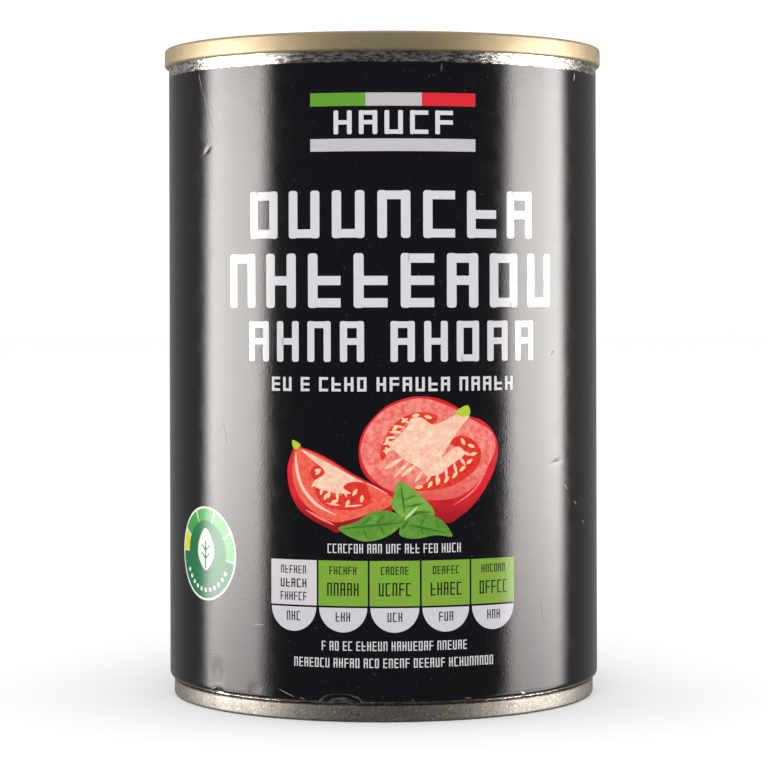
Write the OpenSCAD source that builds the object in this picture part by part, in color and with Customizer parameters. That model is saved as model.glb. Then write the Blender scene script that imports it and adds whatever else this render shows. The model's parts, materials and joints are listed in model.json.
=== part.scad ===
// Closed food can of printed tinplate, with an easy-open top end and a necked-in foot.
// The can stands on z = 0 with its axis on Z, and the front of its print faces -Y.
// All sizes are millimetres.

/* [Body] */
// Outside diameter of the straight wall
body_d = 73.4; // [60:0.1:100]
// Height of the can from the foot to the top of the top seam
can_h = 110; // [80:0.5:160]
// Thickness of the tinplate
gauge = 0.2; // [0.16:0.01:0.26]
// Radius of the shoulder that draws the wall in above the foot
shoulder_r = 1; // [0.9:0.1:1.4]
// Running clearance between the filled body and the pressed ends
press_gap = 0.1; // [0.05:0.01:0.15]

/* [Seams] */
// How far the top seam stands out from the wall
top_seam_out = 0.7; // [0.5:0.05:1]
// Height of the top seam
top_seam_h = 3.1; // [2.6:0.1:3.8]
// How far the foot seam lies inside the wall
foot_seam_in = 0.75; // [0.5:0.05:1.2]
// Height of the foot seam
foot_seam_h = 2.8; // [2.4:0.1:3.4]
// Thickness of the rolled and pressed layers of a seam
seam_t = 1.2; // [1.05:0.05:1.5]
// Roundness of the rolled edges
seam_round = 0.5; // [0.3:0.05:0.52]

/* [Top end] */
// Depth of the groove's floor below the top of the seam
top_sink = 4.5; // [3.8:0.1:5.6]
// Height of the panel above the groove's floor
top_rise = 1.2; // [1:0.1:1.5]
// Radius of the groove's round floor
groove_round = 0.6; // [0.4:0.05:0.7]
// Inner radius of the bend from the groove up to the panel
panel_bend = 0.35; // [0.2:0.05:0.4]
// Distance from the panel's wall to the score line
score_inset = 1.3; // [0.8:0.1:1.6]
// Width of the score line
score_w = 0.3; // [0.2:0.05:0.4]
// Depth of the score line
score_depth = 0.08; // [0.05:0.01:0.1]
// Distance from the panel's wall to the step down to the tab's floor
step_inset = 2.2; // [1.8:0.1:3]
// Depth of the step
step_depth = 0.5; // [0.3:0.05:0.6]
// Width of the slope of a step or bead
slope_w = 0.4; // [0.3:0.05:0.6]

/* [Ring pull] */
// Direction of the tab's nose, counted from the right of the print
tab_turn = 30; // [0:5:355]
// Outer radius of the ring
ring_r = 11.5; // [10:0.1:13]
// Width of the ring
ring_w = 3.2; // [2.6:0.1:4]
// Outer radius of the nose
nose_r = 6; // [5.2:0.1:6.5]
// Width of the curled edge round the nose
curl_w = 1.7; // [1.4:0.1:2]
// Distance between the ring's centre and the rivet
tab_reach = 17; // [15:0.5:18]
// Height of the curled edges
tab_t = 1.4; // [1.1:0.1:1.8]
// Roundness of the curled edges
curl_round = 0.6; // [0.4:0.05:0.65]
// Thickness of the flat web inside the curled edges
web_t = 0.7; // [0.4:0.05:0.9]
// Gap between the nose and the step in the panel
nose_gap = 0.5; // [0.3:0.1:1]
// Radius of the rivet's shank
rivet_r = 1.9; // [1.5:0.1:2.2]
// Radius of the rivet's head
head_r = 3; // [2.6:0.1:3.4]
// Thickness of the rivet's head
head_t = 0.5; // [0.3:0.1:0.7]
// Radial clearance of the rivet in the tab
rivet_gap = 0.05; // [0.02:0.01:0.1]

/* [Finger well] */
// Radius of the well's floor, pressed into the panel under the ring
well_r = 8; // [7:0.1:9]
// Depth of the well
well_depth = 0.6; // [0.3:0.05:0.8]
// Distance from the ring's centre back to the well's centre
well_back = 2; // [0:0.1:3]

/* [Foot end] */
// Height of the groove's roof above the ground
foot_sink = 4; // [3.6:0.1:4.8]
// Depth of the foot's panel below the groove's roof
foot_rise = 1.2; // [1:0.1:1.5]
// Distance from the panel's wall to the outer ring bead
foot_bead_inset = 4.5; // [3:0.5:8]
// Distance between neighbouring ring beads
foot_bead_pitch = 6.5; // [5:0.5:8]
// Width of the flat crest of a ring bead
foot_bead_w = 1.6; // [1:0.1:2.5]
// Depth of a ring bead
foot_bead_depth = 0.45; // [0.3:0.05:0.6]
// Number of ring beads
foot_beads = 3; // [1:1:3]

/* [Hidden] */
$fn = 128;
cut = 1;

body_r = body_d / 2;
black_print = [0.09, 0.09, 0.1];
gold_lacquer = [0.8, 0.7, 0.48];
bare_tin = [0.72, 0.71, 0.67];

// Knocks in the wall: degrees round from the front, height, radius of the ball that
// would leave the mark, and depth of the mark.
DENTS = [
    [-13.5, shoulder_r + foot_seam_h + 0.2, 8, 0.4],
    [-50.5, shoulder_r + foot_seam_h - 0.4, 4, 0.3],
    [-54, can_h - 18, 3, 0.25],
    [46, can_h / 2 + 3.5, 3, 0.2],
    [48, can_h / 2 - 14.5, 3.5, 0.25]
];

// Top seam and the pressed sheet inside it, from the outside inwards
top_out_r = body_r + top_seam_out;
top_in_r = top_out_r - seam_t;
top_seam_z = can_h - top_seam_h;
groove_z = can_h - top_sink;
panel_z = groove_z + top_rise;
top_bend = min(panel_bend + gauge, top_rise / 2);
top_round = min(groove_round, top_rise - top_bend);
panel_r = top_in_r - 2 * top_round;
step_r = panel_r - step_inset;
floor_z = panel_z - step_depth;

// Foot seam and its pressed sheet
foot_out_r = body_r - foot_seam_in;
foot_in_r = foot_out_r - seam_t;
roof_z = foot_sink;
foot_panel_z = roof_z - foot_rise;
foot_bend = min(panel_bend + gauge, foot_rise / 2);
foot_round = min(groove_round, foot_rise - foot_bend);
foot_panel_r = foot_in_r - 2 * foot_round;

// The body's wall above the foot seam stands just outside the foot end's own wall
neck_r = foot_in_r + 2 * gauge + press_gap;
shoulder_z = foot_seam_h + shoulder_r + gauge;

// Ring pull, along its own axis from the can's centre
tab_tip = step_r - slope_w - nose_gap;
rivet_x = tab_tip - nose_r;
ring_x = rivet_x - tab_reach;
well_x = ring_x - well_back;
tab_side = asin((ring_r - nose_r) / tab_reach);

// Upright bar with rounded edges: inner radius, low edge, width, height, roundness
module soft_bar(x, z, w, h, r) {
    translate([x + r, z]) square([w - 2 * r, h]);
    translate([x, z + r]) square([w, h - 2 * r]);
    for (px = [x + r, x + w - r], pz = [z + r, z + h - r])
        translate([px, pz]) circle(r);
}

// Quarter bend of the sheet round a centre, towards the side that sx and sz point to
module bend(x, z, outer, sx, sz) {
    translate([x, z]) intersection() {
        difference() {
            circle(outer);
            circle(outer - gauge);
        }
        translate([sx < 0 ? -outer : 0, sz < 0 ? -outer : 0]) square(outer);
    }
}

// Stretch of the sheet whose upper face runs from one point of the profile to another
module slope(x0, z0, x1, z1) {
    polygon([[x0, z0], [x1, z1], [x1, z1 - gauge], [x0, z0 - gauge]]);
}

module body_outline() {
    translate([0, shoulder_z]) square([body_r, top_seam_z - shoulder_z]);
    translate([body_r - shoulder_r, shoulder_z]) circle(shoulder_r);
    translate([0, foot_seam_h]) square([neck_r, shoulder_z - foot_seam_h]);
}

// Room for the top end: the flat floor, and the groove with its clearance
module top_room() {
    translate([0, floor_z - gauge])
        square([body_r - gauge, can_h]);
    translate([panel_r - top_bend - press_gap, groove_z - gauge - press_gap])
        square([body_r - gauge - panel_r + top_bend + press_gap, can_h]);
}

// Room for the foot end
module foot_room() {
    square([neck_r - gauge, foot_panel_z + gauge]);
    translate([foot_panel_r - foot_bend - press_gap, 0])
        square([neck_r - gauge - foot_panel_r + foot_bend + press_gap, roof_z + gauge + press_gap]);
}

module dent(turn, z, ball, depth) {
    rotate([0, 0, turn - 90])
        translate([body_r + ball - depth, 0, z])
            sphere(ball);
}

module body() {
    color(black_print) difference() {
        rotate_extrude() difference() {
            body_outline();
            top_room();
            foot_room();
        }
        rotate([0, 0, tab_turn])
            translate([well_x, 0, floor_z - gauge - well_depth - press_gap])
                cylinder(r = well_r + slope_w + press_gap, h = can_h);
        for (d = DENTS)
            dent(d[0], d[1], d[2], d[3]);
    }
}

module top_outline() {
    soft_bar(top_in_r, top_seam_z, seam_t, top_seam_h, seam_round);
    translate([top_in_r, top_seam_z])
        square([body_r - top_in_r, top_seam_h / 2]);
    translate([top_in_r, groove_z + top_round])
        square([gauge, top_seam_z - groove_z - top_round]);
    bend(top_in_r - top_round, groove_z + top_round, top_round + gauge, 1, -1);
    bend(top_in_r - top_round, groove_z + top_round, top_round + gauge, -1, -1);
    translate([panel_r - gauge, groove_z + top_round])
        square([gauge, panel_z - top_bend - groove_z - top_round]);
    bend(panel_r - top_bend, panel_z - top_bend, top_bend, 1, 1);
    slope(step_r, panel_z, panel_r - top_bend, panel_z);
    slope(step_r - slope_w, floor_z, step_r, panel_z);
    slope(0, floor_z, step_r - slope_w, floor_z);
}

module score_line() {
    score_r = panel_r - score_inset;
    polygon([
        [score_r - score_w / 2, panel_z + score_w],
        [score_r - score_w / 2, panel_z],
        [score_r, panel_z - score_depth],
        [score_r + score_w / 2, panel_z],
        [score_r + score_w / 2, panel_z + score_w]
    ]);
}

module top_end() {
    color(gold_lacquer) {
        difference() {
            rotate_extrude() difference() {
                top_outline();
                score_line();
            }
            rotate([0, 0, tab_turn])
                translate([well_x, 0, floor_z - cut])
                    cylinder(r = well_r + slope_w, h = 2 * cut);
        }
        rotate([0, 0, tab_turn]) {
            translate([well_x, 0, 0]) rotate_extrude() {
                slope(0, floor_z - well_depth, well_r, floor_z - well_depth);
                slope(well_r, floor_z - well_depth, well_r + slope_w, floor_z);
            }
            translate([rivet_x, 0, floor_z - gauge / 2])
                cylinder(r = rivet_r, h = gauge / 2 + web_t + head_t);
            translate([rivet_x, 0, floor_z + web_t])
                cylinder(r = head_r, h = head_t);
        }
    }
}

// Foot seam, groove and the bend down to the panel
module foot_rim() {
    soft_bar(foot_in_r, 0, seam_t, foot_seam_h, seam_round);
    translate([foot_in_r, foot_seam_h / 2])
        square([neck_r - foot_in_r, foot_seam_h / 2]);
    translate([foot_in_r, foot_seam_h / 2])
        square([gauge, roof_z - foot_round - foot_seam_h / 2]);
    bend(foot_in_r - foot_round, roof_z - foot_round, foot_round + gauge, 1, 1);
    bend(foot_in_r - foot_round, roof_z - foot_round, foot_round + gauge, -1, 1);
    translate([foot_panel_r - gauge, foot_panel_z + foot_bend])
        square([gauge, roof_z - foot_round - foot_panel_z - foot_bend]);
    bend(foot_panel_r - foot_bend, foot_panel_z + foot_bend, foot_bend, 1, -1);
}

// Panel with its ring beads
module foot_panel() {
    for (i = [0 : foot_beads]) {
        from_x = i < foot_beads ? bead_x(i) + bead_span() : 0;
        to_x = i > 0 ? bead_x(i - 1) : foot_panel_r - foot_bend;
        slope(from_x, foot_panel_z + gauge, to_x, foot_panel_z + gauge);
    }
    for (i = [0 : foot_beads - 1])
        ring_bead(bead_x(i));
}

// Inner radius and whole width of a ring bead in the foot's panel
function bead_span() = foot_bead_w + 2 * slope_w;
function bead_x(i) = foot_panel_r - foot_bead_inset - i * foot_bead_pitch - bead_span();

module ring_bead(x) {
    high = foot_panel_z + gauge;
    low = high - foot_bead_depth;
    slope(x, high, x + slope_w, low);
    slope(x + slope_w, low, x + slope_w + foot_bead_w, low);
    slope(x + slope_w + foot_bead_w, low, x + bead_span(), high);
}

module bottom_end() {
    color(bare_tin) {
        rotate_extrude() foot_rim();
        rotate_extrude() foot_panel();
    }
}

// Outline of the tab between its ring and its nose, drawn in by the given margin
module tab_waist(margin) {
    ring_edge = ring_r - margin;
    nose_edge = nose_r - margin;
    polygon([
        [ring_edge * sin(tab_side), ring_edge * cos(tab_side)],
        [tab_reach + nose_edge * sin(tab_side), nose_edge * cos(tab_side)],
        [tab_reach + nose_edge * sin(tab_side), -nose_edge * cos(tab_side)],
        [ring_edge * sin(tab_side), -ring_edge * cos(tab_side)]
    ]);
}

// Flat web that joins the ring to the nose, inside the curled edges
module tab_web() {
    linear_extrude(web_t) difference() {
        union() {
            tab_waist(curl_w / 2);
            translate([tab_reach, 0]) circle(nose_r - curl_w / 2);
        }
        circle(ring_r - ring_w / 2);
        translate([tab_reach, 0]) circle(rivet_r + rivet_gap);
    }
}

// Curled edge along one side of the waist
module tab_edge() {
    rotate([0, 0, -tab_side])
        translate([0, ring_r, 0])
            rotate([90, 0, 90])
                linear_extrude(tab_reach * cos(tab_side))
                    soft_bar(-curl_w, 0, curl_w, tab_t, curl_round);
}

module ring_pull() {
    color(bare_tin)
        rotate([0, 0, tab_turn])
            translate([ring_x, 0, floor_z]) {
                rotate_extrude()
                    soft_bar(ring_r - ring_w, 0, ring_w, tab_t, curl_round);
                difference() {
                    union() {
                        translate([tab_reach, 0, 0]) rotate_extrude()
                            soft_bar(nose_r - curl_w, 0, curl_w, tab_t, curl_round);
                        tab_edge();
                        mirror([0, 1, 0]) tab_edge();
                        tab_web();
                    }
                    translate([0, 0, -cut])
                        cylinder(r = ring_r - ring_w / 2, h = tab_t + 2 * cut);
                }
            }
}

body();
top_end();
bottom_end();
ring_pull();
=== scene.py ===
# %% [markdown]
# # A printed food can
# The object is a closed tin of tomatoes: a tube of printed tinplate with a gold-lacquered
# easy-open end seamed on top and a plain end seamed into its drawn-in foot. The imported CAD
# model is the fixed frame. It gives every size and place, and this script gives the looks.

# %% Load the frame
import json
import math
import random

import bpy
from mathutils import Matrix, Vector

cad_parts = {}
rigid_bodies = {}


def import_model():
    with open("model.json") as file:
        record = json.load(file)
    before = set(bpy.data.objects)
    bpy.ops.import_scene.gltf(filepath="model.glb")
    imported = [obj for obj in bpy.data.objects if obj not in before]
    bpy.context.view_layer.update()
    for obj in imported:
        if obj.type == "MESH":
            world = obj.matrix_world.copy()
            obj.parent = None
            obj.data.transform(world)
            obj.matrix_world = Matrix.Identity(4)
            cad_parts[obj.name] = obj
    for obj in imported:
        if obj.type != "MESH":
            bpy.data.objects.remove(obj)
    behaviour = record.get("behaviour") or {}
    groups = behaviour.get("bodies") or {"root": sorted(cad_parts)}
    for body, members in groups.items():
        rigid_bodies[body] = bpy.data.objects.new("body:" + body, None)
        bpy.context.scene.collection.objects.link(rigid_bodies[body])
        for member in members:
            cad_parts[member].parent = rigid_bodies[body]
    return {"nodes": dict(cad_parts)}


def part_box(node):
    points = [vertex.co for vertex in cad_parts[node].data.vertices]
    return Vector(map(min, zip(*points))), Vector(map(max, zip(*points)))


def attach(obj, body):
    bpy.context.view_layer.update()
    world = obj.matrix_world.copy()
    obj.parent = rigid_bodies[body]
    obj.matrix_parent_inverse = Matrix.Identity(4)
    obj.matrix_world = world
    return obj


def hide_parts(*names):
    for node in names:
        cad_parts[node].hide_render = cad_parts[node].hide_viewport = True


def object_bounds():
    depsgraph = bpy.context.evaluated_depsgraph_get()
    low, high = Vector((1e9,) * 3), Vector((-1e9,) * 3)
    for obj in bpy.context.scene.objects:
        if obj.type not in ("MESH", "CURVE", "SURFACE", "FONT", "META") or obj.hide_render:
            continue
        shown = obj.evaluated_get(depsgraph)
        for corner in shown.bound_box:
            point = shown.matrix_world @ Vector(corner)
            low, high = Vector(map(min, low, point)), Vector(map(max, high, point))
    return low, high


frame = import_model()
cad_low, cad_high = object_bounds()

mm = 0.001
print("CAD nodes:", ", ".join(sorted(frame["nodes"])))

# %% [markdown]
# ## Sizes
# The large sizes are read from the frame. The small ones, such as the roundness of a rolled
# edge, can't be read from a box. They are named here, as the CAD model has them.

# %% Sizes of the can
wall_low, wall_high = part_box("body")
seam_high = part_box("top_end")[1]
foot_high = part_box("bottom_end")[1]

wall_r = (wall_high.x - wall_low.x) / 2
can_h = cad_high.z
rim_z = wall_high.z
crevice_z = wall_low.z
seam_r = seam_high.x
foot_r = foot_high.x

gauge = 0.2 * mm
seam_t = 1.2 * mm
seam_round = 0.5 * mm
shoulder_r = 1.0 * mm
shoulder_z = crevice_z + shoulder_r + gauge
foot_in_r = foot_r - seam_t
neck_r = foot_in_r + 2.5 * gauge
print(f"can {2 * seam_r / mm:.1f} x {can_h / mm:.1f} mm, wall radius {wall_r / mm:.2f} mm")

# %% [markdown]
# ## The camera
# A long lens at the height of the print's large type, about twelve wall radii away, so the
# rims curve gently. The lens is shifted down a little to keep the camera level, and the
# camera stands slightly to the left of the middle of the print.

# %% Camera
camera_yaw = math.radians(-2.8)
camera_roll = math.radians(-0.14)
camera_distance = 12.5 * wall_r
camera_height = 68.1 * mm

lens = bpy.data.cameras.new("camera")
lens.lens = 124.6
lens.sensor_width = 36
lens.shift_x = 0.0015
lens.shift_y = -0.1164
lens.clip_start = 0.01
camera = bpy.data.objects.new("camera", lens)
camera.location = (
    camera_distance * math.sin(camera_yaw),
    -camera_distance * math.cos(camera_yaw),
    camera_height,
)
turned = Matrix.Rotation(camera_yaw, 4, "Z") @ Matrix.Rotation(math.pi / 2, 4, "X")
camera.rotation_euler = (turned @ Matrix.Rotation(camera_roll, 4, "Z")).to_euler()
scene = bpy.context.scene
scene.collection.objects.link(camera)
scene.camera = camera
scene.view_settings.view_transform = "Standard"
print(f"camera {camera_distance:.3f} m away, {camera_height:.3f} m up")

# %% [markdown]
# ## Colours and nodes
# Colours are written as the sRGB hex values that a designer reads off a swatch, and one
# function turns them into the linear values that the shader wants. The other functions each
# add one kind of node, set it up, link it and return its result, so that a material reads
# from top to bottom like a recipe.

# %% Colour and node helpers
def linear(swatch):
    """Turns an sRGB hex colour into linear red, green, blue and alpha."""
    channels = [int(swatch[i : i + 2], 16) / 255 for i in (0, 2, 4)]
    return tuple(
        c / 12.92 if c <= 0.04045 else ((c + 0.055) / 1.055) ** 2.4 for c in channels
    ) + (1.0,)


def add_node(tree, kind, inputs=None, output=0, **settings):
    """Adds a shader node and returns one of its results.

    inputs holds a number, a swatch or the result of another node for each input.
    """
    made = tree.nodes.new("ShaderNode" + kind)
    for name, value in settings.items():
        setattr(made, name, value)
    for socket, value in (inputs or {}).items():
        if isinstance(value, bpy.types.NodeSocket):
            tree.links.new(value, made.inputs[socket])
        else:
            made.inputs[socket].default_value = linear(value) if isinstance(value, str) else value
    return made.outputs[output] if made.outputs else None


def new_material(name):
    """Makes an empty node material and returns it with its tree."""
    material = bpy.data.materials.new(name)
    material.use_nodes = True
    material.node_tree.nodes.clear()
    return material, material.node_tree


def show(material, shader):
    """Sends a shader to the material's surface and returns the finished material."""
    add_node(material.node_tree, "OutputMaterial", {"Surface": shader})
    return material


def principled(tree, tone, rough, metallic=0.0, **more):
    """A surface of a colour, a roughness and a share of metal, with any other inputs."""
    inputs = {"Base Color": tone, "Roughness": rough, "Metallic": metallic, **more}
    return add_node(tree, "BsdfPrincipled", inputs)


def mix_shaders(tree, share, first, second):
    """A shader between two others, by a share from 0 to 1."""
    return add_node(tree, "MixShader", {0: share, 1: first, 2: second})


def blend(tree, share, first, second):
    """A colour between two others, by a share from 0 to 1."""
    return add_node(tree, "Mix", {0: share, 6: first, 7: second}, 2, data_type="RGBA")


def calc(tree, operation, first, second=0.0):
    """One sum on one or two values."""
    return add_node(tree, "Math", {0: first, 1: second}, operation=operation)


def ramp(tree, value, low, high, start=0.0, end=1.0, curve="LINEAR"):
    """Goes from start to end while a value goes from low to high."""
    inputs = {"Value": value, "From Min": low, "From Max": high, "To Min": start, "To Max": end}
    return add_node(tree, "MapRange", inputs, "Result", interpolation_type=curve)


def axes(tree, spot):
    """The x, y and z of a place."""
    return add_node(tree, "SeparateXYZ", {0: spot}, slice(None))

# %% [markdown]
# ## Light
# The can stands on a pale floor between two tall softboxes, which it mirrors as two upright
# bright strips. They are panels with a glow material, which is brightest at the can's height
# and dims above and below it. Only mirror-like reflections see them, so that they don't burn
# out the floor: the even light on the floor and the print comes from the surroundings.

# %% Studio
def studio_point(azimuth, distance, height):
    """A place round the can: the azimuth counts from the camera, to its right."""
    turn = math.radians(azimuth) + camera_yaw
    return Vector((distance * math.sin(turn), -distance * math.cos(turn), height))


def glow(name, swatch, powers, low_z, high_z):
    """A glow with three powers, which change softly over two ranges of height."""
    material, tree = new_material(name)
    height = axes(tree, add_node(tree, "TexCoord", output="Object"))[2]
    rise = ramp(tree, height, *low_z, powers[0], powers[1], "SMOOTHSTEP")
    change = ramp(tree, height, *high_z, 0.0, powers[2] - powers[1], "SMOOTHSTEP")
    power = calc(tree, "ADD", rise, change)
    return show(material, add_node(tree, "Emission", {"Color": swatch, "Strength": power}))


softbox_distance = 0.60
softbox_w, softbox_h = 0.44, 0.90
softbox_glow = glow("softbox_cloth", "FFF9F6", (4.5, 12.5, 3.0), (-0.12, 0.03), (0.158, 0.20))

# Each softbox faces the can, and leans with its top to the right by some degrees
for side, azimuth, lean in (("left", -84.3, 8.5), ("right", 87.7, 2.0)):
    bpy.ops.mesh.primitive_plane_add(size=1, rotation=(math.pi / 2, 0, 0))
    panel = bpy.context.object
    panel.name = "softbox_" + side
    bpy.ops.object.transform_apply(location=False, rotation=True, scale=False)
    panel.scale = (softbox_w, 1, softbox_h)
    panel.rotation_euler = (0, math.radians(lean), math.radians(azimuth) + camera_yaw)
    panel.location = studio_point(azimuth, softbox_distance, 0)
    bpy.ops.object.transform_apply(location=True, rotation=True, scale=True)
    panel.visible_camera = False
    panel.visible_diffuse = False
    panel.visible_shadow = False
    panel.data.materials.append(softbox_glow)

# %% [markdown]
# The surroundings are white to the camera and to matt surfaces, but a mirror sees a dim
# room: dark in front of the can, paler behind it and bright overhead, like a ceiling. A weak
# lamp above the camera fills in the front of the print.

# %% Surroundings and floor
world = bpy.data.worlds.new("studio")
scene.world = world
world.use_nodes = True
sky = world.node_tree
sky.nodes.clear()
seen = add_node(sky, "LightPath", output="Is Glossy Ray")
way = axes(sky, add_node(sky, "TexCoord", output="Generated"))
behind = ramp(sky, way[1], -0.2, 1.0, 0.10, 0.30)
overhead = ramp(sky, way[2], 0.45, 0.95, 0.0, 0.7, "SMOOTHSTEP")
room = calc(sky, "ADD", behind, overhead)
mirrored = add_node(sky, "Background", {"Color": "FFFDFA", "Strength": room})
matt = add_node(sky, "Background", {"Color": "FFFFFF", "Strength": 1.07})
add_node(sky, "OutputWorld", {"Surface": mix_shaders(sky, seen, matt, mirrored)})

bpy.ops.mesh.primitive_plane_add(size=8)
floor = bpy.context.object
floor.name = "floor"
material, tree = new_material("pale_painted_board")
floor.data.materials.append(show(material, principled(tree, "FCFCFC", 0.9)))
floor.visible_glossy = False

fill_data = bpy.data.lights.new("fill_lamp", "AREA")
fill_data.shape = "RECTANGLE"
fill_data.size = 0.9
fill_data.size_y = 0.6
fill_data.energy = 3
fill_lamp = bpy.data.objects.new("fill_lamp", fill_data)
fill_lamp.location = studio_point(0, 0.9, 0.9)
aim = Vector((0, 0, can_h / 2)) - fill_lamp.location
fill_lamp.rotation_euler = aim.to_track_quat("-Z", "Y").to_euler()
fill_lamp.visible_glossy = False
scene.collection.objects.link(fill_lamp)

# %% [markdown]
# ## The varnish
# Tinplate is printed flat, varnished and baked before it is rolled into cans. The varnish is
# glossy, but it dries with a faint orange peel, and dust and rubbing leave it grainy. One
# function makes that relief, and every ink on the wall uses it, so that a reflection runs on
# through the print without a break.

# %% Varnish relief
peel_mm = 2.2  # distance between the swells of the orange peel
grain_mm = 0.30  # distance between the grains, drawn coarser than real to show at all


def place(tree):
    """The place of a point on the object, in millimetres."""
    spot = add_node(tree, "TexCoord", output="Object")
    return add_node(tree, "VectorMath", {0: spot, "Scale": 1 / mm}, operation="SCALE")


def stretch(tree, spot, factors):
    """A place with its x, y and z multiplied by three factors."""
    return add_node(tree, "VectorMath", {0: spot, 1: factors}, operation="MULTIPLY")


def noise(tree, spot, size, detail=2.0, rough=0.5):
    """Cloudy noise whose swells lie the given number of millimetres apart."""
    inputs = {"Vector": spot, "Scale": 1 / size, "Detail": detail, "Roughness": rough}
    return add_node(tree, "TexNoise", inputs)


def bump(tree, height, strength, depth, **more):
    """The normal of a relief that is some millimetres deep where its height goes to 1."""
    inputs = {"Height": height, "Strength": strength, "Distance": depth * mm, **more}
    return add_node(tree, "Bump", inputs)


def varnish(tree, spot):
    """The normal of varnished tinplate: soft orange peel with fine grain on it."""
    peel = noise(tree, spot, peel_mm, 1.0)
    grain = noise(tree, spot, grain_mm, 2.0, 0.6)
    return bump(tree, grain, 1.0, 0.02, Normal=bump(tree, peel, 0.25, 0.004))


def oval(tree, spot, x, z, half_w, half_h):
    """How far a point lies from the middle of an upright oval, where 1 is its edge."""
    shrunk = stretch(tree, spot, (1 / half_w, 0, 1 / half_h))
    middle = (x / half_w, 0, z / half_h)
    return add_node(tree, "VectorMath", {0: shrunk, 1: middle}, "Value", operation="DISTANCE")

# %% [markdown]
# ## Turning
# The wall, the two ends and the rivet are all round, so each is turned like wood on a lathe:
# one point is extruded along the profile, and the profile is then spun about an axis.

# %% Lathe tools
merge_gap = 0.0005 * mm


def begin(name):
    """Starts a piece from a small plane that is merged to a single point at the origin."""
    bpy.ops.object.select_all(action="DESELECT")
    bpy.ops.mesh.primitive_plane_add(size=mm)
    piece = bpy.context.object
    piece.name = name
    piece.data.name = name
    bpy.ops.object.mode_set(mode="EDIT")
    bpy.ops.mesh.merge(type="CENTER")
    return piece


def follow(profile):
    """Extrudes the selected point along a profile of (radius, height) points."""
    for (radius, height), (next_radius, next_height) in zip(profile, profile[1:]):
        move = (next_radius - radius, 0, next_height - height)
        bpy.ops.mesh.extrude_vertices_move(TRANSFORM_OT_translate={"value": move})


def select_mesh():
    """Selects the whole of the open mesh."""
    bpy.ops.mesh.select_all(action="SELECT")


def close(piece):
    """Merges what lies together, turns the faces outwards and leaves edit mode."""
    select_mesh()
    bpy.ops.mesh.remove_doubles(threshold=merge_gap)
    bpy.ops.mesh.normals_make_consistent(inside=False)
    bpy.ops.object.mode_set(mode="OBJECT")
    print(f"{piece.name}: {len(piece.data.polygons)} faces")


def select_only(piece):
    """Makes a piece the only selected one, and the active one."""
    bpy.ops.object.select_all(action="DESELECT")
    piece.select_set(True)
    bpy.context.view_layer.objects.active = piece


def smooth(piece, angle=40):
    """Shades a piece smooth, and keeps edges sharper than the angle crisp."""
    select_only(piece)
    bpy.ops.object.shade_smooth_by_angle(angle=math.radians(angle))


def lathe(name, profile, steps, middle=(0, 0)):
    """Turns a closed profile about an upright axis through the middle."""
    piece = begin(name)
    start = (middle[0] + profile[0][0], middle[1], profile[0][1])
    bpy.ops.transform.translate(value=start)
    follow(profile)
    select_mesh()
    bpy.ops.mesh.spin(steps=steps, angle=2 * math.pi, center=(*middle, 0), axis=(0, 0, 1))
    close(piece)
    smooth(piece)
    return piece


def arc(radius, height, bend, start, end, steps):
    """Points of a profile along an arc. The angles are in degrees, and 0 points outwards."""
    turns = [math.radians(start + (end - start) * i / steps) for i in range(steps + 1)]
    return [(radius + bend * math.cos(t), height + bend * math.sin(t)) for t in turns]


def ease(start, end, steps):
    """Points of a profile along a soft S from one level to another, as a press leaves it."""
    shares = [i / steps for i in range(1, steps + 1)]
    return [
        (start[0] + (end[0] - start[0]) * s, start[1] + (end[1] - start[1]) * s * s * (3 - 2 * s))
        for s in shares
    ]


def keep(piece, node, material):
    """Fixes a finished piece to the can, in place of a CAD node, and gives it its material."""
    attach(piece, "root")
    if node:
        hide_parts(node)
    piece.data.materials.append(material)


# %% [markdown]
# ## Printed tinplate
# The wall is steel with a skin of tin, printed black and varnished. The print stops short of
# both ends, because varnish can't be seamed. Bright tin shows in a band below the top seam,
# in a thin line above the foot and in a stripe at the back, where the sheet is welded into a
# tube. One material holds both, the tin and the black ink, and masks divide them.

# %% Wall material
print_low, print_high = 3.25, 105.1  # heights in millimetres, like all below
stripe_half = 3.6
wrinkled_above = 104.9

# The dents at the foot are worn to the metal inside an oval. The thin line of bare tin along
# its upper edge is a painted highlight on the dent's crease. Each row: the oval's x, z, half
# width and half height in millimetres, and the edge line's width as a share
worn_dents_and_painted_highlights = ((-8.6, 3.15, 3.3, 1.45, 0.07), (-28.4, 3.1, 1.0, 0.75, 0.1))


def tin(tree, spot, plain):
    """Bright tinplate, wrinkled by rolling and seaming, but nearly smooth where plain is 1."""
    drawn_out = stretch(tree, spot, (0.55, 0.55, 2.0))
    wrinkles = noise(tree, drawn_out, 0.55, 4.0, 0.7)
    cloud = noise(tree, drawn_out, 0.8, 3.0, 0.7)
    tone = blend(tree, ramp(tree, cloud, 0.42, 0.6), "E9E6E0", "6E6A64")
    tone = blend(tree, plain, tone, "C4C1BA")
    force = calc(tree, "SUBTRACT", 1.0, calc(tree, "MULTIPLY", plain, 0.9))
    return principled(tree, tone, 0.22, 1.0, Normal=bump(tree, wrinkles, force, 0.045))


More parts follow.
